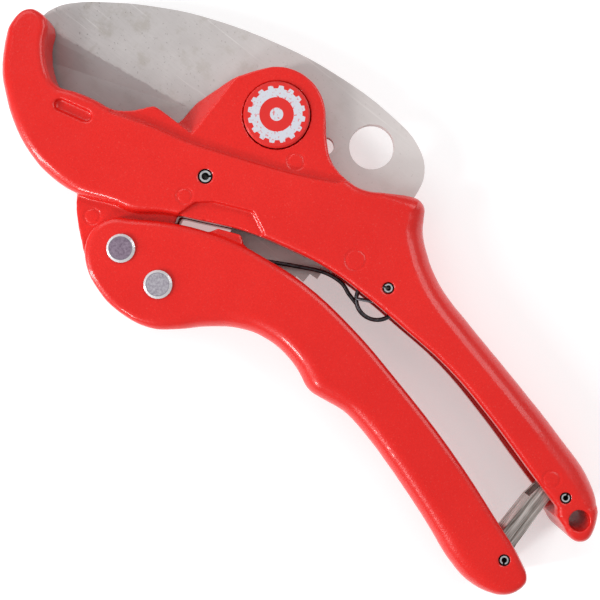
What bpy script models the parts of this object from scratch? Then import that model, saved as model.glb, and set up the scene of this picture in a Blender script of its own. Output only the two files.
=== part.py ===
"""Ratchet pipe cutter with a hooked jaw, a toothed shear blade and two handles held shut by a latch.

The tool lies on its side. X runs from the jaw to the ends of the handles, Y runs from the lever to the
back of the blade, and Z is the tool's thickness. Sketches are in millimetres, measured from the blade's
pivot and from the middle plane that the blade turns in.
"""
import math

import bmesh
import bpy
from mathutils import Vector

MM = 0.001

# Driving dimensions, in millimetres and degrees
PIVOT_X, PIVOT_Y = -36.5, 26.5      # blade pivot, so that the tool's box is centred on the origin
BODY_THICKNESS = 24.0               # frame, over its two faces
HALF = BODY_THICKNESS / 2
BOSS_STEP = 2.0                     # how far the boss and jaw bed lie below each face
BLADE_THICKNESS = 3.0
SLOT_WIDTH = 3.8                    # blade slot through the frame
EAR_WIDTH = 13.0                    # the two cheeks that carry the lever
LEVER_INSIDE, LEVER_OUTSIDE = 13.6, 21.2
CHANNEL_WIDTH = 14.0                # hollow of the frame's handle
GAP = 0.3                           # clearance between neighbouring pieces

LEVER_AXIS = (-12.1, -60.7)
FEED_PAWL_AXIS = (3.4, -62.4)
LATCH_AXIS = (137.0, -63.7)
STOP_PIN = (-5.3, -28.0)
SPRING_PIN = (58.7, -20.6)
KEEPER_PIN = (139.5, -37.5)
LANYARD_HOLE = (147.0, -40.3)

BUSH_RADIUS = 7.0
BOLT_RADIUS = 5.0
CAP_RADIUS = 10.1
RIVET_RADIUS = 3.0
RIVET_HEAD_RADIUS = 4.35

TOOTH_PITCH = 5.0                   # degrees of blade turn for each ratchet tooth
TOOTH_TIP_RADIUS = 50.9
TOOTH_ROOT_RADIUS = 48.8
TOOTH_LEAN = 2.2                    # degrees from a root to the tip that follows it
FIRST_ROOT, LAST_ROOT = -75.0, -10.0
SECTOR_INNER_RADIUS = 32.4
STOP_NOTCH = (25.7, -105.3, -36.4)  # inner radius, then the angles where the stop pin ends the travel
SLOT_RADIUS = TOOTH_TIP_RADIUS + 0.6

ROUND_STEPS = 24                    # facets round a bore or a turned piece


def polar(radius, angle, centre=(0.0, 0.0)):
    turn = math.radians(angle)
    return centre[0] + radius * math.cos(turn), centre[1] + radius * math.sin(turn)


def arc(radius, start, end, steps, centre=(0.0, 0.0)):
    """Corner points along an arc, both ends included."""
    return [polar(radius, start + (end - start) * i / steps, centre) for i in range(steps + 1)]


def smooth(*points):
    return [(x, y, "AUTO") for x, y in points]


# Scene

def clear_scene():
    for thing in list(bpy.data.objects):
        bpy.data.objects.remove(thing, do_unlink=True)


def new_collection(name):
    made = bpy.data.collections.new(name)
    bpy.context.scene.collection.children.link(made)
    return made


def material(name, colour, roughness, metallic):
    made = bpy.data.materials.new(name)
    made.use_nodes = True
    shader = made.node_tree.nodes["Principled BSDF"]
    shader.inputs["Base Color"].default_value = (*colour, 1.0)
    shader.inputs["Roughness"].default_value = roughness
    shader.inputs["Metallic"].default_value = metallic
    return made


def axis_empty(name, axis, parent=None):
    """An empty on a pivot's axis, in the middle plane, that the turning pieces are parented to."""
    empty = bpy.data.objects.new(name, None)
    TOOL.objects.link(empty)
    empty.location = Vector((PIVOT_X + axis[0], PIVOT_Y + axis[1], HALF)) * MM
    empty["axis"] = axis
    if parent is not None:
        empty.parent = parent
        base = parent["axis"]
        empty.location = Vector((axis[0] - base[0], axis[1] - base[1], 0.0)) * MM
    return empty


def hang(obj, empty, paint=None):
    """Parents a piece, sketched from the blade pivot, to a pivot's empty."""
    obj.parent = empty
    x, y = empty["axis"]
    obj.location = Vector((-x, -y, 0.0)) * MM
    if paint is not None:
        obj.data.materials.append(paint)
    return obj


def as_cutter(obj, empty):
    TOOL.objects.unlink(obj)
    CUTTERS.objects.link(obj)
    obj.hide_render = True
    obj.display_type = "WIRE"
    return hang(obj, empty)


# Shapes

def plate(name, outline, low, high, facets=4):
    """A flat piece from its outline: corner points are (x, y) and points of a curve (x, y, "AUTO")."""
    curve = bpy.data.curves.new(name, "CURVE")
    curve.dimensions = "2D"
    curve.fill_mode = "BOTH"
    curve.extrude = (high - low) / 2 * MM
    spline = curve.splines.new("BEZIER")
    spline.resolution_u = facets
    spline.use_cyclic_u = True
    spline.bezier_points.add(len(outline) - 1)
    for knot, point in zip(spline.bezier_points, outline):
        kind = point[2] if len(point) > 2 else "VECTOR"
        knot.co = Vector((point[0], point[1], 0.0)) * MM
        knot.handle_left_type = kind
        knot.handle_right_type = kind
    sketch = bpy.data.objects.new(name + "_sketch", curve)
    TOOL.objects.link(sketch)
    bpy.context.view_layer.update()
    mesh = mesh_of(sketch, name)
    shift = (high + low) / 2 * MM
    for vertex in mesh.vertices:
        vertex.co.z += shift
    return add_piece(name, mesh)


def mesh_of(sketch, name):
    """The closed mesh of a curve object, which is then removed."""
    depsgraph = bpy.context.evaluated_depsgraph_get()
    mesh = bpy.data.meshes.new_from_object(sketch.evaluated_get(depsgraph))
    mesh.name = name
    bpy.data.objects.remove(sketch, do_unlink=True)
    work = bmesh.new()
    work.from_mesh(mesh)
    bmesh.ops.remove_doubles(work, verts=work.verts, dist=0.00001)
    bmesh.ops.dissolve_limit(work, angle_limit=math.radians(0.2), verts=work.verts, edges=work.edges)
    bmesh.ops.recalc_face_normals(work, faces=work.faces)
    work.to_mesh(mesh)
    work.free()
    return mesh


def add_piece(name, mesh):
    obj = bpy.data.objects.new(name, mesh)
    TOOL.objects.link(obj)
    return obj


def cylinder(name, centre, radius, low, high, steps=ROUND_STEPS):
    mesh = bpy.data.meshes.new(name)
    work = bmesh.new()
    bmesh.ops.create_cone(work, cap_ends=True, segments=steps, radius1=radius * MM,
                          radius2=radius * MM, depth=(high - low) * MM)
    middle = Vector((centre[0], centre[1], (low + high) / 2)) * MM
    bmesh.ops.translate(work, vec=middle, verts=work.verts)
    work.to_mesh(mesh)
    work.free()
    return add_piece(name, mesh)


def turned(name, centre, profile, steps=ROUND_STEPS):
    """A turned piece from the (radius, height) points down its outer side."""
    mesh = bpy.data.meshes.new(name)
    points = [Vector((radius, 0.0, height)) * MM for radius, height in profile]
    mesh.from_pydata(points, [(i, i + 1) for i in range(len(points) - 1)], [])
    obj = add_piece(name, mesh)
    screw = obj.modifiers.new("turn", "SCREW")
    screw.steps = steps
    screw.render_steps = steps
    screw.use_merge_vertices = True
    screw.merge_threshold = 0.00001
    bpy.context.view_layer.update()
    depsgraph = bpy.context.evaluated_depsgraph_get()
    spun = bpy.data.meshes.new_from_object(obj.evaluated_get(depsgraph))
    bpy.data.objects.remove(obj, do_unlink=True)
    for vertex in spun.vertices:
        vertex.co += Vector((centre[0], centre[1], 0.0)) * MM
    return add_piece(name, spun)


def wire(name, points, diameter):
    """A bent wire through the given points."""
    curve = bpy.data.curves.new(name, "CURVE")
    curve.dimensions = "3D"
    curve.bevel_depth = diameter / 2 * MM
    curve.bevel_resolution = 2
    curve.use_fill_caps = True
    spline = curve.splines.new("POLY")
    spline.points.add(len(points) - 1)
    for knot, point in zip(spline.points, points):
        knot.co = (*(Vector(point) * MM), 1.0)
    obj = bpy.data.objects.new(name, curve)
    TOOL.objects.link(obj)
    return obj


def round_edges(obj, radius, steps=2):
    bevel = obj.modifiers.new("rounding", "BEVEL")
    bevel.width = radius * MM
    bevel.segments = steps
    bevel.limit_method = "ANGLE"
    bevel.angle_limit = math.radians(50)
    bevel.use_clamp_overlap = False


def boolean(obj, other, operation, empty):
    step = obj.modifiers.new(other.name, "BOOLEAN")
    step.operation = operation
    step.solver = "EXACT"
    step.object = as_cutter(other, empty)


def cut(obj, empty, *others):
    for other in others:
        boolean(obj, other, "DIFFERENCE", empty)


def mirror_through_middle(obj):
    """Repeats the near half of a piece on the far side of the middle plane."""
    mirror = obj.modifiers.new("two_sides", "MIRROR")
    mirror.use_axis = (False, False, True)
    mirror.use_bisect_axis = (False, False, True)
    mirror.merge_threshold = 0.00001


def finish_rounds(obj, angle=32):
    obj.data.shade_smooth()
    obj.data.set_sharp_from_angle(angle=math.radians(angle))


# Frame

def frame_outline():
    hook = smooth((-72.0, -20.3), (-68.2, -26.5), (-63.0, -31.7), (-58.0, -33.9), (-51.8, -31.8),
                  (-45.3, -30.1), (-40.9, -29.4), (-36.3, -26.6))
    bed = [(-31.0, -20.5), (-23.8, -20.1), (-23.1, -11.3), (-17.8, 0.2)]
    boss = [(x, y, "AUTO") for x, y in arc(14.8, 146, 48, 5)]
    shoulder = smooth((12.9, 7.7), (16.3, 3.7), (22.0, -0.9), (28.0, -2.3), (34.2, -1.8),
                      (41.3, 2.2), (48.5, 6.3))
    back = [(52.5, 6.8)] + smooth((54.6, 3.1), (61.6, -4.1), (71.8, -9.9), (84.4, -13.3),
                                  (105.3, -18.0), (129.6, -24.0), (144.2, -28.8), (149.7, -33.3),
                                  (152.8, -39.0), (153.0, -44.0), (149.6, -46.2))
    channel_edge = [(144.8, -44.6), (141.6, -43.6), (140.0, -41.4)]
    channel_edge += smooth((126.0, -37.6), (108.0, -32.6), (88.0, -28.4), (70.0, -27.2), (56.0, -26.6))
    belly = smooth((41.6, -27.0), (27.3, -29.7), (13.4, -33.7), (-0.1, -39.9), (-9.2, -44.4),
                   (-17.4, -50.0), (-22.5, -51.4), (-33.0, -55.8))
    jaw_back = smooth((-42.1, -56.8), (-51.8, -55.1), (-60.5, -51.3), (-68.1, -46.0), (-73.6, -40.8),
                      (-77.1, -35.9), (-79.9, -29.6), (-80.3, -24.6), (-78.4, -20.6), (-75.4, -19.6))
    return hook + bed + boss + shoulder + back + channel_edge + belly + jaw_back


def blade_slot(empty):
    """Everything that is cut from the middle plane for the blade, its tail and the pawls."""
    side = SLOT_WIDTH / 2
    pocket = [(-79.0, 5.0), (-79.0, -22.5), (-76.4, -30.0), (-71.5, -35.6), (-63.0, -39.8),
              (-50.0, -39.4), (-36.0, -35.0), (0.0, -20.0), (0.0, 30.0), (-60.0, 30.0)]
    pawls = [(-20.8, -52.3), (-20.8, -66.0), (-16.0, -76.0), (12.0, -76.0), (12.0, -40.0),
             (-14.0, -40.0), (-17.0, -52.3)]
    return (plate("blade_pocket", pocket, -side, side),
            cylinder("tail_pocket", (0.0, 0.0), SLOT_RADIUS, -side, side, 72),
            plate("pawl_pocket", pawls, -side, side))


def handle_channel():
    """The hollow of the fixed handle, open towards the lever."""
    half = CHANNEL_WIDTH / 2
    roof = smooth((54.0, -12.5), (60.0, -11.0), (70.0, -15.4), (90.0, -19.2), (110.0, -24.0),
                  (130.0, -29.2))
    end = [(139.5, -32.2), (142.6, -35.0), (142.6, -60.0)]
    mouth = [(34.0, -60.0), (34.0, -25.4), (47.5, -23.0)]
    return plate("handle_channel", roof + end + mouth, -half, half)


def jaw_recess():
    """The blind, round-ended slot in the face of the jaw."""
    centre, reach, radius, slope = (-48.9, -36.8), 4.2, 1.8, 14.0
    ahead = polar(reach, slope, centre)
    behind = polar(reach, slope + 180, centre)
    outline = arc(radius, slope - 90, slope + 90, 8, ahead) + arc(radius, slope + 90, slope + 270, 8, behind)
    return plate("jaw_recess", outline, HALF - 1.6, HALF + 1)


def boss_level():
    """What is taken off the face over the boss and the bed, down to the step that runs along them."""
    crease = smooth((-27.0, -26.1), (-15.9, -23.2), (-4.4, -19.0), (6.9, -14.6), (17.8, -9.9))
    outline = [(-40.4, -30.6)] + crease + [(27.0, -5.2), (31.5, 0.5), (31.5, 25.0), (-45.0, 25.0)]
    return plate("boss_level", outline, HALF - BOSS_STEP, HALF + 1)


def boss_ramp():
    """The slope on the boss where it runs down to the blade."""
    top, foot, beyond = -16.7, -23.6, -32.0
    floor = SLOT_WIDTH / 2 + 0.4
    ramp = plate("boss_ramp", [(top, -(HALF - BOSS_STEP)), (foot, -floor), (beyond, -floor),
                               (beyond, -HALF - 4), (top, -HALF - 4)], -20.3, 4.0)
    for vertex in ramp.data.vertices:
        x, y, z = vertex.co
        vertex.co = (x, z, -y)
    return ramp


def stop_relief():
    """The shallow step in the belly's edge that the lever's stop comes up against."""
    outline = [(-3.0, -36.0), (1.2, -32.4), (12.5, -27.4), (19.2, -30.6), (19.0, -42.0), (-6.0, -46.0)]
    return plate("stop_relief", outline, HALF - 2.4, HALF + 1)


def ear():
    outline = [(-35.0, -54.0)] + smooth((-32.4, -58.6), (-27.8, -63.5), (-24.2, -66.6), (-19.4, -70.0))
    outline += [(x, y, "AUTO") for x, y in arc(9.8, 250, 340, 4, LEVER_AXIS)]
    outline += [(-2.8, -57.0), (-5.0, -44.0), (-7.0, -37.0), (-24.0, -48.0)]
    return plate("ear_stock", outline, -EAR_WIDTH / 2, EAR_WIDTH / 2)


def make_frame(empty, paint):
    frame = hang(plate("frame_body", frame_outline(), -HALF, HALF, 4), empty, paint)
    round_edges(frame, 1.6)
    boolean(frame, ear(), "UNION", empty)
    cut(frame, empty, boss_level(), boss_ramp(), stop_relief(), jaw_recess(), *blade_slot(empty))
    cut(frame, empty, handle_channel())
    reach = HALF + 1
    bores = {"bolt_bore": ((0.0, 0.0), BOLT_RADIUS + GAP), "stop_bore": (STOP_PIN, 2.15),
             "spring_bore": (SPRING_PIN, 1.75), "keeper_bore": (KEEPER_PIN, 1.65),
             "lever_bore": (LEVER_AXIS, RIVET_RADIUS + GAP), "lanyard_bore": (LANYARD_HOLE, 3.2)}
    for name, (centre, radius) in bores.items():
        cut(frame, empty, cylinder(name, centre, radius, -reach, reach, 24))
    cut(frame, empty, cylinder("cap_seat", (0.0, 0.0), CAP_RADIUS + GAP, 5.3, reach))
    mirror_through_middle(frame)
    finish_rounds(frame)


# Pivot, pins and rivets

def make_pivot(empty, steel, paint):
    head = [(0.0, 8.5), (7.4, 8.5), (8.0, 7.9), (8.0, 5.6), (BOLT_RADIUS, 5.6), (BOLT_RADIUS, -8.0),
            (BOLT_RADIUS - 0.5, -8.5), (0.0, -8.5)]
    bolt = turned("pivot_bolt", (0.0, 0.0), head)
    nut = cylinder("pivot_nut", (0.0, 0.0), 8.6, -8.6, -5.6, 6)
    cut(nut, empty, cylinder("nut_bore", (0.0, 0.0), BOLT_RADIUS + GAP, -10, -4))
    bush = cylinder("pivot_bush", (0.0, 0.0), BUSH_RADIUS, -1.8, 1.8)
    cut(bush, empty, cylinder("bush_bore", (0.0, 0.0), BOLT_RADIUS + GAP, -3, 3))
    for obj in (bolt, nut, bush):
        finish_rounds(hang(obj, empty, steel))
    for name, side in (("cap_near", 1), ("cap_far", -1)):
        profile = [(0.0, 11.0), (CAP_RADIUS - 0.5, 11.0), (CAP_RADIUS, 10.5), (CAP_RADIUS, 8.9), (0.0, 8.9)]
        if side < 0:
            profile = [(radius, -height) for radius, height in reversed(profile)]
        finish_rounds(hang(turned(name, (0.0, 0.0), profile, 40), empty, paint))


def roll_pin(name, axis, radius, length, slit_angle, empty, steel):
    """A rolled spring pin: a tube that is slit along one side."""
    wall = radius * 0.4
    opening = math.degrees(0.35 / radius)
    outer = arc(radius, slit_angle + opening, slit_angle + 360 - opening, 18, axis)
    inner = arc(radius - wall, slit_angle + 360 - opening * 1.6, slit_angle + opening * 1.6, 18, axis)
    pin = plate(name, outer + inner, -length / 2, length / 2)
    finish_rounds(hang(pin, empty, steel))


def rivet(name, axis, empty, steel):
    seat = LEVER_OUTSIDE / 2 + GAP
    edge, rim = seat + 0.4, seat + 0.9
    profile = [(0.0, rim), (RIVET_HEAD_RADIUS - 0.65, rim), (RIVET_HEAD_RADIUS, edge),
               (RIVET_HEAD_RADIUS, seat), (RIVET_RADIUS, seat)]
    profile += [(radius, -height) for radius, height in reversed(profile)]
    finish_rounds(hang(turned(name, axis, profile), empty, steel))


# Blade

def ratchet_teeth():
    """Tooth corners from the sector's trailing end round to its leading end."""
    points = []
    root = LAST_ROOT
    while root > FIRST_ROOT:
        points.append(polar(TOOTH_ROOT_RADIUS, root))
        points.append(polar(TOOTH_TIP_RADIUS, root - TOOTH_PITCH + TOOTH_LEAN))
        root -= TOOTH_PITCH
    return points + [polar(TOOTH_ROOT_RADIUS, FIRST_ROOT)]


def blade_outline():
    back = smooth((-78.0, -19.4), (-76.6, -14.9), (-73.5, -10.7), (-62.8, -2.1), (-52.7, 4.3),
                  (-39.0, 11.2), (-12.4, 19.7), (4.4, 22.6), (27.4, 23.2), (39.7, 20.8), (46.3, 15.4),
                  (48.4, 8.1), (48.5, 0.6))
    inner, closed, opened = STOP_NOTCH
    notch = [polar(SECTOR_INNER_RADIUS, FIRST_ROOT)]
    notch += arc(SECTOR_INNER_RADIUS, FIRST_ROOT + 6, opened, 6)
    notch += arc(inner, opened, closed, 9)
    notch.append(polar(SECTOR_INNER_RADIUS - 1.5, closed))
    edge = smooth((-18.0, -29.4), (-32.0, -31.2), (-44.0, -35.6), (-56.0, -38.2), (-66.0, -36.6),
                  (-73.0, -31.0), (-77.0, -24.5))
    return back + [polar(TOOTH_TIP_RADIUS - 0.4, -5.0)] + ratchet_teeth() + notch + edge


def grind():
    """A wedge that thins the blade from the grinding line to the cutting edge."""
    reach, depth, slope = 60.0, 22.0, 8.0
    fall = BLADE_THICKNESS / 2 - 0.15
    wedge = plate("grind", [(0.0, BLADE_THICKNESS / 2), (-depth, BLADE_THICKNESS / 2 - fall),
                            (-depth, 4.0), (0.0, 4.0)], -reach / 2, reach / 2)
    turn = math.radians(slope)
    start = Vector((-53.0, -17.6, 0.0))
    for vertex in wedge.data.vertices:
        across, up, along = vertex.co / MM
        x = start.x + along * math.cos(turn) - across * math.sin(turn)
        y = start.y + along * math.sin(turn) + across * math.cos(turn)
        vertex.co = Vector((x, y, up)) * MM
    return wedge


def make_blade(empty, steel):
    half = BLADE_THICKNESS / 2
    blade = hang(plate("blade", blade_outline(), -half, half), empty, steel)
    cut(blade, empty, grind())
    for name, centre, radius in (("bush_hole", (0.0, 0.0), BUSH_RADIUS + GAP),
                                 ("large_hole", (28.2, 11.8), 7.05), ("small_hole", (16.5, 3.0), 2.8)):
        cut(blade, empty, cylinder(name, centre, radius, -3, 3, 36))
    mirror_through_middle(blade)
    finish_rounds(blade)


# Lever

def lever_outline():
    top = smooth((-20.0, -54.8), (-16.2, -52.3), (-5.1, -45.3), (5.8, -40.4), (14.0, -37.9), (23.4, -36.3),
                 (37.3, -35.0), (57.2, -36.6), (77.7, -40.7), (104.3, -47.5), (129.4, -56.1),
                 (142.0, -61.0), (146.6, -64.2))
    end = smooth((147.0, -67.5), (142.9, -73.4), (135.7, -76.0), (128.6, -75.4))
    grip = smooth((111.6, -69.3), (95.0, -63.8), (80.4, -59.8), (72.0, -58.5), (65.3, -59.3),
                  (59.0, -59.9), (54.0, -57.7), (48.0, -55.9), (40.0, -55.5), (32.5, -57.3),
                  (24.2, -62.4), (15.6, -70.2), (9.3, -74.6))
    head = smooth((-1.8, -76.5), (-10.0, -75.2), (-18.0, -71.2), (-22.4, -65.2), (-22.7, -59.6))
    return top + end + grip + head


def lever_hollow():
    half = LEVER_INSIDE / 2
    floor = smooth((-2.0, -72.6), (5.0, -71.4), (9.6, -68.4), (16.0, -63.4), (24.0, -57.0), (32.0, -52.8),
                   (40.0, -51.2), (50.0, -51.8), (60.0, -55.2), (72.0, -54.3), (90.0, -58.2),
                   (112.0, -65.0), (128.0, -70.6))
    outline = [(-30.0, -78.0), (-11.0, -78.0), (-9.6, -73.0)] + floor
    outline += [(137.0, -71.4), (141.6, -68.4), (143.0, -64.0), (143.0, -30.0), (-30.0, -30.0)]
    return plate("lever_hollow", outline, -half, half)


def stop_tab():
    outline = [(4.0, -43.0), (6.9, -38.0), (13.6, -35.2), (15.9, -37.0), (23.0, -37.4), (23.0, -41.0)]
    return plate("stop_tab", outline, LEVER_INSIDE / 2 - 1, LEVER_OUTSIDE / 2 - 2)


def make_lever(empty, paint):
    half = LEVER_OUTSIDE / 2
    lever = hang(plate("lever_body", lever_outline(), -half, half, 4), empty, paint)
    round_edges(lever, 1.8)
    boolean(lever, stop_tab(), "UNION", empty)
    cut(lever, empty, lever_hollow())
    for name, centre, radius in (("head_bore", LEVER_AXIS, RIVET_RADIUS + GAP),
                                 ("pawl_bore", FEED_PAWL_AXIS, RIVET_RADIUS + GAP),
                                 ("latch_bore", LATCH_AXIS, 1.7)):
        cut(lever, empty, cylinder(name, centre, radius, -half - 1, half + 1, 24))
    mirror_through_middle(lever)
    finish_rounds(lever)


# Pawls

def pawl_nose(angle):
    """The nose that sits in a tooth gap: its left shoulder, tip and right shoulder."""
    return [polar(TOOTH_TIP_RADIUS + 0.7, angle - 2.0), polar(TOOTH_ROOT_RADIUS + 0.55, angle + 0.1),
            polar(TOOTH_TIP_RADIUS + 0.7, angle + 1.5)]


def make_pawls(hold_empty, feed_empty, steel):
    half = BLADE_THICKNESS / 2
    hold_nose = FIRST_ROOT
    arm = arc(TOOTH_TIP_RADIUS + 0.8, hold_nose - 16, hold_nose - 4, 3)
    hub = arc(5.5, 205, 345, 8, LEVER_AXIS)
    tail = [(-20.0, -62.6), (-20.0, -59.2), (-16.8, -59.2), (-15.6, -56.4)]
    heel = [polar(54.0, hold_nose + 2.0), polar(56.0, -83.0), (-2.0, -57.4)]
    hold = arm + pawl_nose(hold_nose) + heel + hub[::-1] + tail
    pawl = hang(plate("hold_pawl", hold, -half, half), hold_empty, steel)
    cut(pawl, hold_empty, cylinder("hold_hole", LEVER_AXIS, RIVET_RADIUS + GAP, -3, 3, 24))
    finish_rounds(pawl)

    feed_nose = FIRST_ROOT + 3 * TOOTH_PITCH
    hub = arc(4.6, 80, 290, 10, FEED_PAWL_AXIS)
    feed = [(10.5, -58.6), (17.0, -55.6), polar(53.2, feed_nose - 5.5)] + pawl_nose(feed_nose)
    feed += [(28.8, -47.2), (27.0, -52.6), (20.4, -58.2)] + hub[::-1]
    pawl = hang(plate("feed_pawl", feed, -half, half), feed_empty, steel)
    cut(pawl, feed_empty, cylinder("feed_hole", FEED_PAWL_AXIS, RIVET_RADIUS + GAP, -3, 3, 24))
    finish_rounds(pawl)


def make_spacers(empty, steel):
    for name, side in (("pawl_spacer_near", 1), ("pawl_spacer_far", -1)):
        low, high = sorted((side * 1.8, side * (LEVER_INSIDE / 2 - GAP)))
        spacer = cylinder(name, FEED_PAWL_AXIS, 4.3, low, high)
        bore = cylinder(name + "_bore", FEED_PAWL_AXIS, RIVET_RADIUS + GAP, low - 1, high + 1)
        cut(spacer, empty, bore)
        finish_rounds(hang(spacer, empty, steel))


# Springs

def coil(centre, radius, start, turns, low, pitch, steps=12):
    """Points round a coil that climbs by the pitch each turn."""
    count = round(abs(turns) * steps)
    points = []
    for i in range(count + 1):
        share = i / count
        x, y = polar(radius, start + 360 * turns * share, centre)
        points.append((x, y, low + pitch * abs(turns) * share))
    return points


def make_return_spring(empty, steel):
    """A torsion spring hung on its pin: one leg bears on the handle and the other on the lever."""
    diameter, radius, low = 1.3, 6.5, 3.3
    centre = (SPRING_PIN[0] - 0.1, SPRING_PIN[1] - 4.2)
    leg = [(18.0, -40.5, low), (24.6, -36.6, low), (40.6, -28.4, low), (46.6, -27.6, low), (49.8, -29.4, low)]
    turns = coil(centre, radius, 232, 2.05, low, 1.5)
    back_leg = [(66.4, -22.0, 6.2), (69.5, -18.6, 6.2)]
    hang(wire("return_spring", leg + turns[:-1] + back_leg, diameter), empty, steel)


def make_feed_pawl_spring(empty, steel):
    leg = [(15.6, -54.6, 2.4), (10.6, -57.4, 2.4)]
    turns = coil(FEED_PAWL_AXIS, 4.95, 42, 2.6, 2.4, 1.15)
    foot = [(2.0, -70.0, 5.4)]
    hang(wire("feed_pawl_spring", leg + turns + foot, 0.8), empty, steel)


def make_hold_pawl_spring(empty, steel):
    """A small compression spring between the frame and the tail of the hold pawl."""
    x, top, bottom, radius, turns, steps = -18.7, -53.0, -58.4, 1.25, 4, 10
    points = []
    for i in range(turns * steps + 1):
        turn = 2 * math.pi * i / steps
        share = i / (turns * steps)
        points.append((x + radius * math.cos(turn), top + (bottom - top) * share, radius * math.sin(turn)))
    hang(wire("hold_pawl_spring", points, 0.5), empty, steel)


# Latch

def make_latch(empty, steel):
    """A folded strip: two arms with an eye on the lever's pin and a hook round the keeper pin."""
    eye = arc(3.3, 170, 350, 9, LATCH_AXIS)
    hook = [(139.4, -58.0), (139.0, -41.0), (140.9, -40.4), (140.9, -39.2)]
    hook += arc(1.7, 270, 90, 8, KEEPER_PIN) + [(140.9, -35.8), (140.6, -34.4), (136.6, -34.2), (135.0, -36.4)]
    back = [(133.8, -44.0), (133.6, -58.0)]
    latch = hang(plate("latch_plate", eye + hook + back, -3.8, 3.8), empty, steel)
    inside = [(135.0, -59.6), (135.0, -44.6), (133.0, -43.6), (133.0, -30.0), (145.0, -30.0),
              (145.0, -70.0), (130.0, -70.0), (130.0, -59.6)]
    cut(latch, empty, plate("latch_inside", inside, -2.6, 2.6))
    cut(latch, empty, cylinder("latch_eye", LATCH_AXIS, 1.7, -5, 5, 20))
    finish_rounds(latch)


def make_all():
    red = material("red_paint", (0.62, 0.035, 0.03), 0.35, 0.0)
    blade_steel = material("blade_steel", (0.62, 0.6, 0.57), 0.35, 1.0)
    bright_steel = material("bright_steel", (0.72, 0.72, 0.75), 0.3, 1.0)
    dark_steel = material("dark_steel", (0.12, 0.12, 0.12), 0.45, 1.0)
    cap_red = material("cap_red", (0.6, 0.04, 0.035), 0.3, 0.0)

    frame_axis = axis_empty("frame_axis", (0.0, 0.0))
    blade_axis = axis_empty("blade_axis", (0.0, 0.0))
    lever_axis = axis_empty("lever_axis", LEVER_AXIS)
    hold_axis = axis_empty("hold_pawl_axis", LEVER_AXIS)
    feed_axis = axis_empty("feed_pawl_axis", FEED_PAWL_AXIS, lever_axis)
    latch_axis = axis_empty("latch_axis", LATCH_AXIS, lever_axis)

    make_frame(frame_axis, red)
    make_pivot(frame_axis, bright_steel, cap_red)
    roll_pin("stop_pin", STOP_PIN, 1.75, 23.4, 40, frame_axis, dark_steel)
    roll_pin("spring_pin", SPRING_PIN, 1.3, 23.4, 200, frame_axis, dark_steel)
    roll_pin("keeper_pin", KEEPER_PIN, 1.25, 23.4, 100, frame_axis, dark_steel)
    roll_pin("latch_pin", LATCH_AXIS, 1.3, 20.6, 300, lever_axis, dark_steel)
    rivet("lever_rivet", LEVER_AXIS, frame_axis, bright_steel)
    rivet("feed_pawl_rivet", FEED_PAWL_AXIS, lever_axis, bright_steel)
    make_blade(blade_axis, blade_steel)
    make_lever(lever_axis, red)
    make_pawls(hold_axis, feed_axis, dark_steel)
    make_spacers(lever_axis, bright_steel)
    make_return_spring(frame_axis, dark_steel)
    make_feed_pawl_spring(lever_axis, dark_steel)
    make_hold_pawl_spring(frame_axis, dark_steel)
    make_latch(latch_axis, bright_steel)


clear_scene()
TOOL = new_collection("ratchet_pipe_cutter")
CUTTERS = new_collection("cutters")
make_all()
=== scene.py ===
import math

import bpy
import numpy as np
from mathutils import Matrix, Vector
from mathutils.kdtree import KDTree


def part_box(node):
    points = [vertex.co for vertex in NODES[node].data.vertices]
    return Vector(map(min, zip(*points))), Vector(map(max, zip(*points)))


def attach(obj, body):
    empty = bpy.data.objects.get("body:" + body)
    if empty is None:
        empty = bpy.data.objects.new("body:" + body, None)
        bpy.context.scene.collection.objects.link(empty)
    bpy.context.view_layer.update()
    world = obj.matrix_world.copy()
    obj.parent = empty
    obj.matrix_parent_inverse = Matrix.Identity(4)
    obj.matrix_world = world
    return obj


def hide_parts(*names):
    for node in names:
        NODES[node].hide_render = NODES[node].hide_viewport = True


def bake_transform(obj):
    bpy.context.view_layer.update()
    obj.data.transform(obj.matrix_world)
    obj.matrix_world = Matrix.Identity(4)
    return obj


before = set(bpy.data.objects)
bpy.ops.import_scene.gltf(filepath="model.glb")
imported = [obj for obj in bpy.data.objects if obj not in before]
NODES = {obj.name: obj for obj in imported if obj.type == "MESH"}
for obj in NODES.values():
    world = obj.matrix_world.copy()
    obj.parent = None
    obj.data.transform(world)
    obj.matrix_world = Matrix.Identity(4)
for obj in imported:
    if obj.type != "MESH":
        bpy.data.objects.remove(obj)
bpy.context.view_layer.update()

MM = 0.001
PIVOT_X, PIVOT_Y = -36.5, 26.5  # the blade pivot in the row frame, mm
HALF = 12.0                     # height of the tool's middle plane in the row frame, mm
TURN = math.radians(38.0)       # the camera's turn about its own line of sight

# centres in mm from the blade pivot
STOP_PIN, SPRING_PIN = (-5.3, -28.0), (58.7, -20.6)
KEEPER_PIN, LATCH_PIN = (139.5, -37.5), (137.0, -63.7)
LEVER_RIVET, FEED_RIVET = (-12.1, -60.7), (3.4, -62.4)


def tool(x, y, z=0.0):
    """Row-frame point, in metres, of a place measured in mm from the blade pivot."""
    return Vector((PIVOT_X + x, PIVOT_Y + y, HALF + z)) * MM


# ---------------------------------------------------------------- materials

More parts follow.
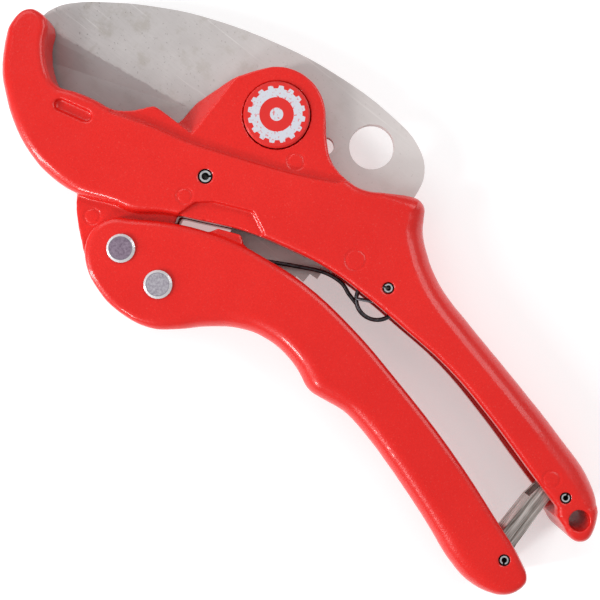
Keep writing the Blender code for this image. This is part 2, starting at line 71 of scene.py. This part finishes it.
class Nodes:
    """Short forms for building one material's node tree."""

    def __init__(self, name):
        self.mat = bpy.data.materials.new(name)
        self.mat.use_nodes = True
        self.tree = self.mat.node_tree
        self.tree.nodes.clear()
        out = self.new("ShaderNodeOutputMaterial")
        self.shader = self.new("ShaderNodeBsdfPrincipled")
        self.link(self.shader.outputs["BSDF"], out.inputs["Surface"])
        self.coord = self.new("ShaderNodeTexCoord").outputs["Object"]

    def new(self, kind, **values):
        node = self.tree.nodes.new(kind)
        for key, value in values.items():
            setattr(node, key, value)
        return node

    def link(self, a, b):
        self.tree.links.new(a, b)

    def put(self, socket, value):
        if hasattr(value, "is_linked"):
            self.link(value, socket)
        else:
            socket.default_value = value

    def mapped(self, scale, turn=0.0):
        node = self.new("ShaderNodeMapping")
        node.inputs["Scale"].default_value = scale
        node.inputs["Rotation"].default_value = (0.0, 0.0, turn)
        self.link(self.coord, node.inputs["Vector"])
        return node.outputs["Vector"]

    def noise(self, scale, detail=2.0, vector=None, rough=0.5):
        node = self.new("ShaderNodeTexNoise")
        node.inputs["Scale"].default_value = scale
        node.inputs["Detail"].default_value = detail
        node.inputs["Roughness"].default_value = rough
        self.link(vector or self.coord, node.inputs["Vector"])
        return node.outputs["Fac"]

    def ramp(self, fac, low, high, a=0.0, b=1.0):
        node = self.new("ShaderNodeMapRange")
        node.inputs["From Min"].default_value = low
        node.inputs["From Max"].default_value = high
        node.inputs["To Min"].default_value = a
        node.inputs["To Max"].default_value = b
        self.put(node.inputs["Value"], fac)
        return node.outputs["Result"]

    def math(self, operation, a, b=0.0):
        node = self.new("ShaderNodeMath", operation=operation)
        self.put(node.inputs[0], a)
        self.put(node.inputs[1], b)
        return node.outputs[0]

    def mix(self, fac, a, b):
        node = self.new("ShaderNodeMix", data_type="RGBA")
        self.put(node.inputs[0], fac)
        self.put(node.inputs[6], a)
        self.put(node.inputs[7], b)
        return node.outputs[2]

    def bump(self, height, strength, distance, normal=None):
        node = self.new("ShaderNodeBump")
        node.inputs["Strength"].default_value = strength
        node.inputs["Distance"].default_value = distance
        self.put(node.inputs["Height"], height)
        if normal is not None:
            self.link(normal, node.inputs["Normal"])
        return node.outputs["Normal"]

    def finish(self, colour, rough, metallic=0.0, normal=None, **constants):
        s = self.shader.inputs
        self.put(s["Base Color"], colour)
        self.put(s["Roughness"], rough)
        s["Metallic"].default_value = metallic
        for key, value in constants.items():
            s[key.replace("_", " ")].default_value = value
        if normal is not None:
            self.link(normal, s["Normal"])
        return self.mat


def edge_mask(n, radius, low, high):
    """1 on exposed edges: how far a softened normal parts from the true one."""
    bevel = n.new("ShaderNodeBevel", samples=4)
    bevel.inputs["Radius"].default_value = radius
    geo = n.new("ShaderNodeNewGeometry")
    dot = n.new("ShaderNodeVectorMath", operation="DOT_PRODUCT")
    n.link(bevel.outputs["Normal"], dot.inputs[0])
    n.link(geo.outputs["Normal"], dot.inputs[1])
    return n.ramp(dot.outputs["Value"], high, low)


def offsets_from(n, centre):
    """Offsets in x and y, in metres, from a row-frame point."""
    place = n.new("ShaderNodeVectorMath", operation="SUBTRACT")
    n.link(n.coord, place.inputs[0])
    place.inputs[1].default_value = centre
    split = n.new("ShaderNodeSeparateXYZ")
    n.link(place.outputs["Vector"], split.inputs["Vector"])
    return split.outputs["X"], split.outputs["Y"]


def plan_length(n, x, y):
    return n.math("SQRT", n.math("ADD", n.math("MULTIPLY", x, x), n.math("MULTIPLY", y, y)))


def red_paint(name, bore_shadows=()):
    """Sprayed red enamel: orange peel, a fine grain, worn edges, and painted shadow round each pin.

    Each painted shadow is a centre and the radius, in metres, out to which the paint is near-black."""
    n = Nodes(name)
    broad = n.noise(22.0, 3.0)
    fine = n.noise(900.0, 2.0)
    peel = n.noise(2200.0, 2.0)
    colour = n.mix(n.ramp(broad, 0.35, 0.68), (0.74, 0.016, 0.011, 1.0), (0.66, 0.011, 0.008, 1.0))
    colour = n.mix(n.math("MULTIPLY", n.ramp(peel, 0.4, 0.62), 0.42), colour,
                   (0.58, 0.009, 0.007, 1.0))
    speck = n.ramp(n.noise(2600.0, 1.0), 0.68, 0.74)
    colour = n.mix(n.math("MULTIPLY", speck, 0.18), colour, (0.90, 0.20, 0.16, 1.0))
    rub = n.math("MULTIPLY", edge_mask(n, 0.0006, 0.72, 0.95), n.ramp(fine, 0.46, 0.62))
    colour = n.mix(n.math("MULTIPLY", rub, 0.22), colour, (0.88, 0.15, 0.12, 1.0))
    # painted shadow: near-black paint out to each radius round a pin, standing in for the shade in
    # the gap between the pin and its bore
    for centre, reach in bore_shadows:
        radius = plan_length(n, *offsets_from(n, centre))
        inside = n.ramp(radius, reach + 0.0001, reach - 0.0001)
        colour = n.mix(inside, colour, (0.006, 0.004, 0.004, 1.0))
    rough = n.ramp(n.noise(120.0, 4.0), 0.3, 0.7, 0.24, 0.33)
    grain = n.bump(peel, 0.30, 0.0002)
    return n.finish(colour, rough, 0.0, n.bump(fine, 0.12, 0.0003, grain),
                    Coat_Weight=0.28, Coat_Roughness=0.08, IOR=1.37)


def steel(name, light, dark, rough, grain=(900.0, 40.0, 40.0), specks=0.0, metallic=0.9):
    """Brushed steel: streaks along the grain, a broad cloud, and dark specks where asked."""
    n = Nodes(name)
    brushed = n.noise(1.0, 4.0, n.mapped(grain), 0.6)
    cloud = n.noise(90.0, 4.0)
    colour = n.mix(n.ramp(brushed, 0.35, 0.65), light, dark)
    colour = n.mix(n.math("MULTIPLY", n.ramp(cloud, 0.5, 0.75), 0.35), colour, dark)
    if specks:
        dots = n.ramp(n.noise(1100.0, 2.0), 0.66, 0.72)
        colour = n.mix(n.math("MULTIPLY", dots, specks), colour, (0.20, 0.18, 0.17, 1.0))
    shine = n.math("ADD", n.ramp(cloud, 0.3, 0.7, rough[0], rough[1]),
                   n.ramp(brushed, 0.3, 0.7, -0.04, 0.06))
    return n.finish(colour, shine, metallic, n.bump(brushed, 0.10, 0.0001))


def blade_steel(name):
    """Ground blade: fine cross grain, a duller ground band along the edge, specks and rubs, and
    painted light towards the end with the large hole.
    """
    n = Nodes(name)
    across = n.noise(1.0, 4.0, n.mapped((260.0, 2600.0, 260.0), 0.10), 0.6)
    along = n.noise(1.0, 3.0, n.mapped((1800.0, 160.0, 160.0), 0.35), 0.6)
    cloud = n.noise(60.0, 5.0, None, 0.6)
    colour = n.mix(n.ramp(cloud, 0.35, 0.7), (0.52, 0.495, 0.49, 1.0), (0.42, 0.395, 0.39, 1.0))
    colour = n.mix(n.math("MULTIPLY", n.ramp(across, 0.45, 0.7), 0.30), colour,
                   (0.37, 0.35, 0.34, 1.0))
    dots = n.ramp(n.noise(1300.0, 2.0), 0.68, 0.72)
    colour = n.mix(n.math("MULTIPLY", dots, 0.55), colour, (0.16, 0.14, 0.13, 1.0))
    rub = n.ramp(n.noise(1.0, 2.0, n.mapped((40.0, 900.0, 40.0), 0.5)), 0.66, 0.74)
    colour = n.mix(n.math("MULTIPLY", rub, 0.30), colour, (0.82, 0.80, 0.78, 1.0))
    stain = n.ramp(n.noise(140.0, 6.0, None, 0.7), 0.53, 0.66)
    colour = n.mix(n.math("MULTIPLY", stain, 0.40), colour, (0.30, 0.27, 0.22, 1.0))
    x, y = offsets_from(n, tool(0.0, 0.0))
    # painted light: the steel is painted paler towards the end with the large hole, standing in for
    # more light falling on that end
    colour = n.mix(n.ramp(x, -0.060, 0.045, 0.0, 0.62), colour, (0.78, 0.72, 0.70, 1.0))
    # the ground zone lies below a line that rises gently towards the pivot
    rise = n.math("MULTIPLY", n.math("SUBTRACT", x, -0.032), 0.15)
    line = n.math("SUBTRACT", n.math("SUBTRACT", y, -0.0150), rise)
    wander = n.math("MULTIPLY", n.math("SUBTRACT", n.noise(500.0, 3.0), 0.5), 0.0012)
    ground = n.math("MULTIPLY", n.ramp(n.math("ADD", line, wander), 0.0002, -0.0002),
                    n.ramp(x, -0.022, -0.034))
    colour = n.mix(n.math("MULTIPLY", ground, 0.62), colour, (0.27, 0.23, 0.23, 1.0))
    shine = n.math("ADD", n.ramp(cloud, 0.3, 0.7, 0.34, 0.46),
                   n.ramp(along, 0.3, 0.7, -0.05, 0.06))
    return n.finish(colour, shine, 0.22, n.bump(across, 0.12, 0.0001))


def rivet_finish(name, centre, light, dark):
    """Pressed rivet head: a mottled dull face inside a turned rim painted near-white, partly its
    paler metal and partly a painted highlight, with a ring of painted shade between them.
    """
    n = Nodes(name)
    radius = plan_length(n, *offsets_from(n, centre))
    mottle = n.noise(1500.0, 4.0, None, 0.7)
    face = n.mix(n.ramp(mottle, 0.35, 0.65), light, dark)
    # painted highlight: the turned chamfer is painted near-white, partly its own paler metal, mostly
    # standing in for the light it catches
    rim = n.ramp(radius, 0.00345, 0.00365)
    # painted shade: a dark ring between face and chamfer stands in for the shade of a groove; the
    # shape has no groove
    groove = n.math("MULTIPLY", n.ramp(radius, 0.00325, 0.00345), n.ramp(radius, 0.0037, 0.0035))
    colour = n.mix(rim, face, (0.86, 0.86, 0.88, 1.0))
    colour = n.mix(n.math("MULTIPLY", groove, 0.6), colour, (0.16, 0.14, 0.18, 1.0))
    shine = n.ramp(rim, 0.0, 1.0, 0.5, 0.22)
    return n.finish(colour, shine, 0.55, n.bump(mottle, 0.25, 0.0002))


def pin_finish(name, centre, pin_radius):
    """Rolled pin: a bright worn end, with painted shade inside the roll and down its sides. Radius in
    mm.
    """
    n = Nodes(name)
    radius = plan_length(n, *offsets_from(n, centre))
    mottle = n.noise(1800.0, 3.0)
    colour = n.mix(n.ramp(mottle, 0.35, 0.65), (0.66, 0.66, 0.67, 1.0), (0.38, 0.38, 0.40, 1.0))
    # painted shade: near-black inside the roll, where the hollow lies in shade
    roll_shade = n.ramp(radius, 0.70 * pin_radius * MM, 0.62 * pin_radius * MM)
    colour = n.mix(roll_shade, colour, (0.004, 0.004, 0.005, 1.0))
    split = n.new("ShaderNodeSeparateXYZ")
    n.link(n.new("ShaderNodeNewGeometry").outputs["Normal"], split.inputs["Vector"])
    # painted shade: near-black down the pin's sides, where they stand in the shade of the bore
    side = n.ramp(n.math("ABSOLUTE", split.outputs["Z"]), 0.6, 0.3)
    colour = n.mix(n.math("MULTIPLY", side, 0.85), colour, (0.02, 0.02, 0.022, 1.0))
    return n.finish(colour, n.ramp(mottle, 0.3, 0.7, 0.28, 0.42), 0.6, n.bump(mottle, 0.15, 0.0001))


def cap_finish(name, centre):
    """Red disc with a plain printed pattern: a pale toothed ring, and no lettering."""
    n = Nodes(name)
    x, y = offsets_from(n, centre)
    radius = plan_length(n, x, y)
    angle = n.math("ARCTAN2", y, x)
    teeth = n.ramp(n.math("SINE", n.math("MULTIPLY", angle, 16.0)), -0.25, 0.25, 0.0, 0.0009)
    outside = n.math("LESS_THAN", radius, n.math("ADD", teeth, 0.0078))
    inside = n.math("GREATER_THAN", radius, 0.0052)
    ring = n.math("MULTIPLY", outside, inside)
    dot = n.math("LESS_THAN", radius, 0.0020)
    mask = n.math("MAXIMUM", ring, dot)
    worn = n.ramp(n.noise(1400.0, 3.0), 0.30, 0.42)
    red = n.mix(n.noise(200.0, 3.0), (0.70, 0.016, 0.012, 1.0), (0.62, 0.012, 0.009, 1.0))
    colour = n.mix(n.math("MULTIPLY", mask, worn), red, (0.58, 0.60, 0.66, 1.0))
    return n.finish(colour, n.ramp(worn, 0.0, 1.0, 0.45, 0.32), 0.0,
                    n.bump(mask, 0.25, 0.0001), Coat_Weight=0.3, Coat_Roughness=0.2)


# the centres and radii given here set the painted shadow round the pins, three on the frame and one
# on the lever
FRAME_PAINT = red_paint("paint_frame", ((tool(*STOP_PIN), 0.00225),
                                        (tool(*SPRING_PIN), 0.0018),
                                        (tool(*KEEPER_PIN), 0.00175)))
LEVER_PAINT = red_paint("paint_lever", ((tool(*LATCH_PIN), 0.0018),))
LEVER_RIVET_FINISH = rivet_finish("rivet_lever", tool(*LEVER_RIVET), (0.30, 0.23, 0.30, 1.0),
                                  (0.17, 0.12, 0.17, 1.0))
FEED_RIVET_FINISH = rivet_finish("rivet_feed", tool(*FEED_RIVET), (0.48, 0.46, 0.50, 1.0),
                                 (0.28, 0.25, 0.30, 1.0))
LATCH = steel("steel_latch", (0.90, 0.86, 0.82, 1.0), (0.12, 0.09, 0.07, 1.0), (0.2, 0.3),
              grain=(1500.0, 60.0, 1500.0), metallic=0.6)
BLADE = blade_steel("steel_blade")
BRIGHT = steel("steel_bright", (0.62, 0.60, 0.64, 1.0), (0.40, 0.37, 0.42, 1.0), (0.26, 0.40),
               specks=0.25)
PAWL = steel("steel_pawl", (0.34, 0.33, 0.32, 1.0), (0.18, 0.17, 0.17, 1.0), (0.36, 0.5),
             specks=0.3)
WIRE = steel("steel_wire", (0.10, 0.10, 0.11, 1.0), (0.04, 0.04, 0.045, 1.0), (0.3, 0.42))
CAP = cap_finish("cap_printed", tool(0.0, 0.0))


# ---------------------------------------------------------------- castings
# All lengths here are in mm.

VOXEL = 0.36          # cell of the castings' fine meshes
OUTLINE_CELL = 0.8    # plan cell that the outline is read in
OUTLINE_SPAN = 2.2    # the outline's place is averaged this far around
RADIUS_SPAN = 12.0    # the rounding radius is averaged this far around
OUTLINE_REACH = 8.0   # points further than this from the outline are left alone
EAR_CLEAR = 7.4       # only walls lie further than this from the middle plane, and no part of the ear
OVERHANG = 1.0        # points further than this outside the outline are left alone
BROAD = 4.0           # roundings under this radius stay clear of the ear's height
CREASED = 4.5         # roundings over this radius take the crease
RING_WIDTH, RING_DEPTH, NEAR_FACE = 0.24, 0.30, 4.0


def applied(obj):
    """The object's mesh with its modifiers worked in."""
    depsgraph = bpy.context.evaluated_depsgraph_get()
    mesh = bpy.data.meshes.new_from_object(obj.evaluated_get(depsgraph))
    obj.modifiers.clear()
    old = obj.data
    obj.data = mesh
    bpy.data.meshes.remove(old)
    return obj


def remeshed(obj, voxel, rounds=0):
    """The object as an even voxel mesh, smoothed for a number of rounds."""
    mod = obj.modifiers.new("voxels", "REMESH")
    mod.mode, mod.voxel_size, mod.use_smooth_shade = "VOXEL", voxel, True
    if rounds:
        smooth = obj.modifiers.new("soften", "SMOOTH")
        smooth.factor, smooth.iterations = 0.5, rounds
    return applied(obj)


def points_of(obj):
    flat = np.empty(len(obj.data.vertices) * 3)
    obj.data.vertices.foreach_get("co", flat)
    return flat.reshape(-1, 3)


def put_points(obj, points):
    obj.data.vertices.foreach_set("co", points.reshape(-1))
    obj.data.update()


def beside(mask):
    """The cells next to a marked cell."""
    near = np.zeros_like(mask)
    near[1:] |= mask[:-1]
    near[:-1] |= mask[1:]
    near[:, 1:] |= mask[:, :-1]
    near[:, :-1] |= mask[:, 1:]
    return near


def silhouette(points, cell, reach=4):
    """Points along the outer edge of the plan view, and the outward direction at each."""
    low = points[:, :2].min(0) - 3 * cell
    index = ((points[:, :2] - low) / cell).astype(int)
    size = index.max(0) + 4
    full = np.zeros(size, bool)
    full[index[:, 0], index[:, 1]] = True
    outside = np.zeros(size, bool)
    outside[0, :] = outside[-1, :] = outside[:, 0] = outside[:, -1] = True
    while True:
        grown = (outside | beside(outside)) & ~full
        if (grown == outside).all():
            break
        outside = grown
    edge = np.argwhere(beside(outside) & full)
    normals = np.zeros((len(edge), 2))
    padded = np.pad((~outside).astype(float), reach)
    for dx in range(-reach, reach + 1):
        for dy in range(-reach, reach + 1):
            value = padded[edge[:, 0] + dx + reach, edge[:, 1] + dy + reach]
            normals -= value[:, None] * np.array([dx, dy])
    normals /= np.linalg.norm(normals, axis=1)[:, None] + 1e-9
    centres = low + (edge + 0.5) * cell
    number = np.full(size, -1)
    number[edge[:, 0], edge[:, 1]] = np.arange(len(edge))
    owner = number[index[:, 0], index[:, 1]]
    held = owner >= 0
    reached = np.einsum("ij,ij->i", points[held, :2] - centres[owner[held]],
                        normals[owner[held]])
    wall = np.full(len(edge), -cell)
    np.maximum.at(wall, owner[held], reached)
    return centres + normals * wall[:, None], normals


def local_tops(points, height, cell=1.5, reach=3):
    """Half thickness around each place in plan, so a rounding starts from its own face."""
    corner = points[:, :2].min(0) - 2 * cell
    index = ((points[:, :2] - corner) / cell).astype(int)
    tops = np.zeros(index.max(0) + 3)
    np.maximum.at(tops, (index[:, 0], index[:, 1]), np.abs(height))
    for _ in range(reach):
        wide = np.pad(tops, 1)
        tops = np.maximum.reduce([wide[1:-1, 1:-1], wide[2:, 1:-1], wide[:-2, 1:-1],
                                  wide[1:-1, 2:], wide[1:-1, :-2]])
    return tops, corner, cell


def roll_edges(points, radius_at, crease):
    """Rounds the plan edge of a casting over the radius that radius_at gives for each stretch."""
    height = points[:, 2] - HALF
    place, out = silhouette(points[np.abs(height) > EAR_CLEAR], OUTLINE_CELL)
    local = place - np.array([PIVOT_X, PIVOT_Y])
    radii = np.array([radius_at(p[0], p[1], q[0], q[1]) for p, q in zip(local, out)])
    tree = KDTree(len(place))
    for i, p in enumerate(place):
        tree.insert((p[0], p[1], 0.0), i)
    tree.balance()
    place = np.array([p + q * np.mean([(place[k[1]] - p) @ q for k in
                                       tree.find_range((p[0], p[1], 0.0), OUTLINE_SPAN)])
                      for p, q in zip(place, out)])
    soft = np.array([np.mean([radii[k[1]] for k in
                              tree.find_range((p[0], p[1], 0.0), RADIUS_SPAN)])
                     for p in place])
    tops, corner, cell = local_tops(points, height)
    for i, p in enumerate(points):
        near = tree.find_n((p[0], p[1], 0.0), 6)
        if near[0][2] > OUTLINE_REACH:
            continue
        r = soft[near[0][1]]
        gap = np.mean([(place[k[1]] - p[:2]) @ out[k[1]] for k in near])
        if gap < -OVERHANG or (abs(height[i]) < EAR_CLEAR and r < BROAD):
            continue
        gap = max(gap, 0.0)
        if gap >= r:
            continue
        top = tops[int((p[0] - corner[0]) / cell), int((p[1] - corner[1]) / cell)]
        drop = r - math.sqrt(max(r * r - (r - gap) ** 2, 0.0))
        drop += crease * (r - gap) * (r > CREASED)
        limit = top - drop
        if abs(height[i]) > limit:
            height[i] = math.copysign(limit, height[i])
    points[:, 2] = height + HALF
    return points


def ring_marks(points, rings):
    """Ejector-pin witness rings: a narrow groove on the near face for each centre and radius."""
    for x, y, radius in rings:
        gap = np.hypot(points[:, 0] - PIVOT_X - x, points[:, 1] - PIVOT_Y - y)
        near = points[:, 2] > HALF + NEAR_FACE
        points[:, 2] -= near * RING_DEPTH * np.exp(-((gap - radius) / RING_WIDTH) ** 2)
    return points


def casting(name, node, body, radius_at, rings, paint, crease=0.0):
    """A fine painted casting made from a CAD node, kept inside that node's box."""
    source = NODES[node]
    obj = bpy.data.objects.new(name, source.data.copy())
    bpy.context.scene.collection.objects.link(obj)
    obj.data.transform(source.matrix_world)
    obj.data.materials.clear()
    low, high = (np.array(corner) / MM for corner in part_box(node))
    remeshed(obj, VOXEL * MM)
    points = roll_edges(points_of(obj) / MM, radius_at, crease)
    put_points(obj, points * MM)
    remeshed(obj, VOXEL * MM, 2)
    points = ring_marks(points_of(obj) / MM, rings)
    put_points(obj, np.clip(points, low, high) * MM)
    obj.data.materials.append(paint)
    for face in obj.data.polygons:
        face.use_smooth = True
    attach(obj, body)
    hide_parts(node)


def frame_rounding(x, y, nx, ny):
    """Radius at a place on the frame's outline, x and y from the blade pivot, facing nx, ny."""
    handle_from, belly, plain = 45.0, (-5.0, 21.0), 0.6
    if x > handle_from and ny > 0.2:    # the handle's back
        return 6.0
    if x > handle_from and ny < -0.2:   # the handle's lower edge
        return 2.0
    if belly[0] < x < belly[1]:
        return plain
    # the hook's outer edge, fuller towards its nose
    if x < 25.0 and y < -20.0 and ny < 0.25 and (nx < 0.5 or ny < -0.6):
        return 3.5 if x < -30.0 else 2.4
    return plain


def lever_rounding(x, y, nx, ny):
    """Radius at a place on the lever's outline: it grows along the grip side, from the head."""
    if ny < 0.15 and nx < 0.8:
        share = min(max((x + 5.0) / 35.0, 0.0), 1.0)
        return 1.8 + 4.4 * share * share * (3.0 - 2.0 * share)
    return 0.8


casting("frame_casting", "frame_body", "frame", frame_rounding,
        ((13.2, -7.4, 2.5), (45.8, -19.9, 3.05), (-6.6, -36.4, 2.3), (132.7, -35.7, 2.55),
         (-26.1, -58.8, 2.35)), FRAME_PAINT, 0.20)
casting("lever_casting", "lever_body", "lever", lever_rounding, (), LEVER_PAINT)


# ---------------------------------------------------------------- return spring

def through(points, steps=10):
    """A smooth run through the points."""
    ends = [points[0]] + list(points) + [points[-1]]
    run = []
    for a, b, c, d in zip(ends, ends[1:], ends[2:], ends[3:]):
        a, b, c, d = Vector(a), Vector(b), Vector(c), Vector(d)
        for i in range(steps):
            t = i / steps
            run.append(0.5 * (2 * b + (c - a) * t + (2 * a - 5 * b + 4 * c - d) * t * t
                              + (3 * b - a - 3 * c + d) * t ** 3))
    return run + [Vector(points[-1])]


def wire(name, points, diameter, finish):
    """A round wire through the points, as a mesh."""
    curve = bpy.data.curves.new(name, "CURVE")
    curve.dimensions, curve.bevel_resolution = "3D", 5
    curve.bevel_depth, curve.use_fill_caps = diameter / 2 * MM, True
    line = curve.splines.new("POLY")
    line.points.add(len(points) - 1)
    for knot, p in zip(line.points, points):
        knot.co = (*tool(*p), 1.0)
    obj = bpy.data.objects.new(name, curve)
    bpy.context.scene.collection.objects.link(obj)
    depsgraph = bpy.context.evaluated_depsgraph_get()
    mesh = bpy.data.meshes.new_from_object(obj.evaluated_get(depsgraph))
    bpy.data.objects.remove(obj)
    obj = bpy.data.objects.new(name, mesh)
    bpy.context.scene.collection.objects.link(obj)
    mesh.materials.clear()
    mesh.materials.append(finish)
    for face in mesh.polygons:
        face.use_smooth = True
    return obj


def return_spring():
    """Two coils hung under their pin, a long leg into the lever and a short one at the handle."""
    low, radius, turns, rise = 3.3, 6.5, 2.05, 1.5
    steps, first_angle, end = 48, 232, 6.2
    cx, cy = SPRING_PIN[0] - 0.1, SPRING_PIN[1] - 4.2
    leg = through([(18.0, -40.5, low), (24.6, -36.6, low), (33.0, -32.0, low), (40.6, -28.4, low),
                   (46.6, -27.6, low), (50.6, -28.9, low)])
    coils = []
    for i in range(int(turns * steps) + 1):
        share = i / (turns * steps)
        angle = math.radians(first_angle + 360 * turns * share)
        coils.append(Vector((cx + radius * math.cos(angle), cy + radius * math.sin(angle),
                             low + rise * turns * share)))
    tail = [Vector((66.4, -22.0, end)), Vector((69.5, -18.6, end))]
    # the last points of the coils are left out, where the wire turns off into its tail
    spring = wire("return_spring_wire", leg + coils[:-4] + tail, 1.3, WIRE)
    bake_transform(spring)
    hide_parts("return_spring")


return_spring()


# ---------------------------------------------------------------- carried-over pieces

FINISH = {"blade": BLADE, "pivot_bolt": BRIGHT, "pivot_nut": BRIGHT, "pivot_bush": BRIGHT,
          "cap_near": CAP, "cap_far": CAP, "stop_pin": pin_finish("pin_stop", tool(*STOP_PIN), 1.75),
          "spring_pin": pin_finish("pin_spring", tool(*SPRING_PIN), 1.3),
          "keeper_pin": pin_finish("pin_keeper", tool(*KEEPER_PIN), 1.25),
          "latch_pin": pin_finish("pin_latch", tool(*LATCH_PIN), 1.3),
          "lever_rivet": LEVER_RIVET_FINISH, "feed_pawl_rivet": FEED_RIVET_FINISH,
          "pawl_spacer_near": BRIGHT, "pawl_spacer_far": BRIGHT,
          "feed_pawl": PAWL, "hold_pawl": PAWL, "latch_plate": LATCH,
          "feed_pawl_spring": WIRE, "hold_pawl_spring": WIRE}
ROUNDING = {"blade": 0.12, "latch_plate": 0.25, "feed_pawl": 0.25, "hold_pawl": 0.25,
            "lever_rivet": 0.35, "feed_pawl_rivet": 0.35, "cap_near": 0.25, "cap_far": 0.25}

for node, finish in FINISH.items():
    obj = NODES[node]
    if not obj.material_slots:
        obj.data.materials.append(finish)
    for s in obj.material_slots:
        s.link = "OBJECT"
        s.material = finish
    if node in ROUNDING:
        bevel = obj.modifiers.new("edge_break", "BEVEL")
        bevel.width, bevel.segments = ROUNDING[node] * MM, 2
        bevel.limit_method, bevel.angle_limit = "ANGLE", math.radians(35.0)


# ---------------------------------------------------------------- stage, light, camera

def stage_floor():
    """A wide pale sheet just under the tool, faintly lit by itself so that it stays pale."""
    bpy.ops.mesh.primitive_plane_add(size=6.0, location=(0.0, 0.0, -0.0004))
    floor = bpy.context.object
    floor.name = "floor"
    n = Nodes("floor_paper")
    tone = n.mix(n.noise(3.0, 3.0), (0.74, 0.74, 0.745, 1.0), (0.72, 0.72, 0.725, 1.0))
    paper = n.finish(tone, 0.8, 0.0, n.bump(n.noise(500.0), 0.04, 0.0003))
    n.shader.inputs["Emission Color"].default_value = (1.0, 1.0, 1.0, 1.0)
    n.shader.inputs["Emission Strength"].default_value = 0.40
    floor.data.materials.append(paper)


def across(right, up, high):
    """Row-frame point from the camera's own right and up directions, in metres."""
    x = right * math.cos(TURN) - up * math.sin(TURN)
    y = right * math.sin(TURN) + up * math.cos(TURN)
    return Vector((x, y, high))


def soft_box(name, place, size, power):
    """A rectangular area light aimed at the row frame's origin."""
    data = bpy.data.lights.new(name, "AREA")
    data.shape, data.size, data.size_y = "RECTANGLE", size[0], size[1]
    data.energy = power
    lamp = bpy.data.objects.new(name, data)
    bpy.context.scene.collection.objects.link(lamp)
    lamp.location = place
    lamp.rotation_euler = (-place).to_track_quat("-Z", "Y").to_euler()


stage_floor()
soft_box("key_left", across(-0.75, -0.20, 0.42), (0.10, 0.6), 5.0)
soft_box("front_left", across(-0.50, -0.55, 0.45), (0.13, 0.13), 2.0)
soft_box("high_left", across(-0.45, 0.75, 0.70), (0.6, 0.6), 2.3)
soft_box("high_right", across(0.70, 0.45, 0.85), (0.7, 0.7), 5.0)

world = bpy.data.worlds.new("studio")
bpy.context.scene.world = world
world.use_nodes = True
world.node_tree.nodes["Background"].inputs["Color"].default_value = (1.0, 1.0, 1.0, 1.0)
world.node_tree.nodes["Background"].inputs["Strength"].default_value = 0.42

lens = bpy.data.cameras.new("camera")
lens.lens, lens.sensor_width = 50.0, 36.0
lens.clip_start, lens.clip_end = 0.01, 20.0
camera = bpy.data.objects.new("camera", lens)
bpy.context.scene.collection.objects.link(camera)
camera.location = Vector((3.5, -13.25, 274.0)) * MM
camera.rotation_euler = (0.0, 0.0, TURN)
bpy.context.scene.camera = camera
bpy.context.scene.view_settings.view_transform = "Standard"
